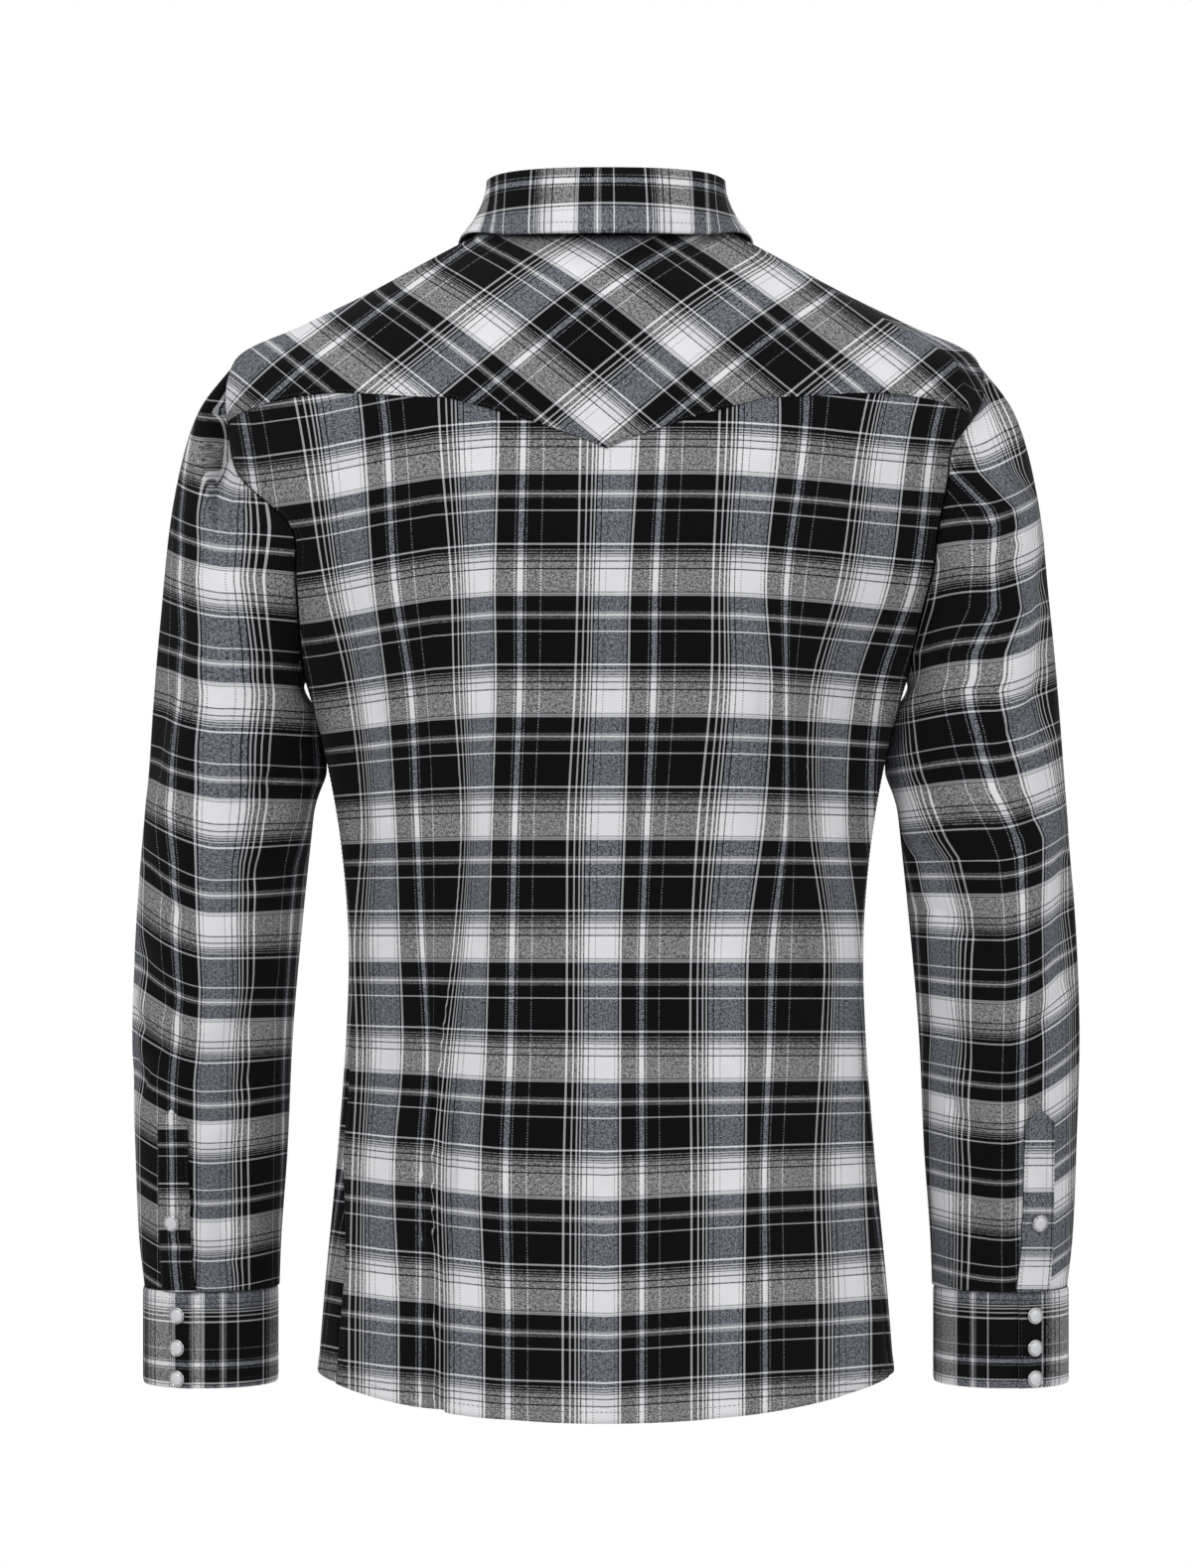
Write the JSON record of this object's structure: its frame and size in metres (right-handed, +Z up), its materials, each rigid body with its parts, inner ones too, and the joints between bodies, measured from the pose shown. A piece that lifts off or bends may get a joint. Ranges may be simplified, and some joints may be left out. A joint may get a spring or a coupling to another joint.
{
  "type": "western snap shirt",
  "caption": "Long-sleeved western shirt in checked flannel with a pointed back yoke, turn-down collar and pearl snaps, filled out as if worn.",
  "frame": {"origin": "the middle of the neck opening, level with the shoulders at the side of the neck", "axes": "+Z up the body to the collar, -Y out of the front, +X to the wearer's left arm"},
  "size_m": [0.6032, 0.238, 0.7722],
  "materials": {
    "check_flannel": "brushed cotton twill woven in a black, white and grey check",
    "bias_flannel": "the same checked cotton twill, cut on the bias",
    "pearl_snap": "pearly white domed cap in a thin bright metal rim"
  },
  "bodies": {
    "root": {"back_panel": "check_flannel", "back_yoke": "bias_flannel", "front_left": "check_flannel", "front_right": "check_flannel", "front_band": "check_flannel", "snap_front_1": "pearl_snap", "snap_front_2": "pearl_snap", "snap_front_3": "pearl_snap", "snap_front_4": "pearl_snap", "snap_front_5": "pearl_snap", "snap_front_6": "pearl_snap", "snap_front_7": "pearl_snap", "sleeve_left": "check_flannel", "cuff_left": "check_flannel", "sleeve_opening_left": "check_flannel", "snap_cuff_left_1": "pearl_snap", "snap_cuff_left_2": "pearl_snap", "snap_cuff_left_3": "pearl_snap", "snap_sleeve_left": "pearl_snap", "sleeve_right": "check_flannel", "cuff_right": "check_flannel", "sleeve_opening_right": "check_flannel", "snap_cuff_right_1": "pearl_snap", "snap_cuff_right_2": "pearl_snap", "snap_cuff_right_3": "pearl_snap", "snap_sleeve_right": "pearl_snap", "collar_stand": "check_flannel", "snap_collar": "pearl_snap", "collar_leaf": "check_flannel"}
  },
  "joints": []
}
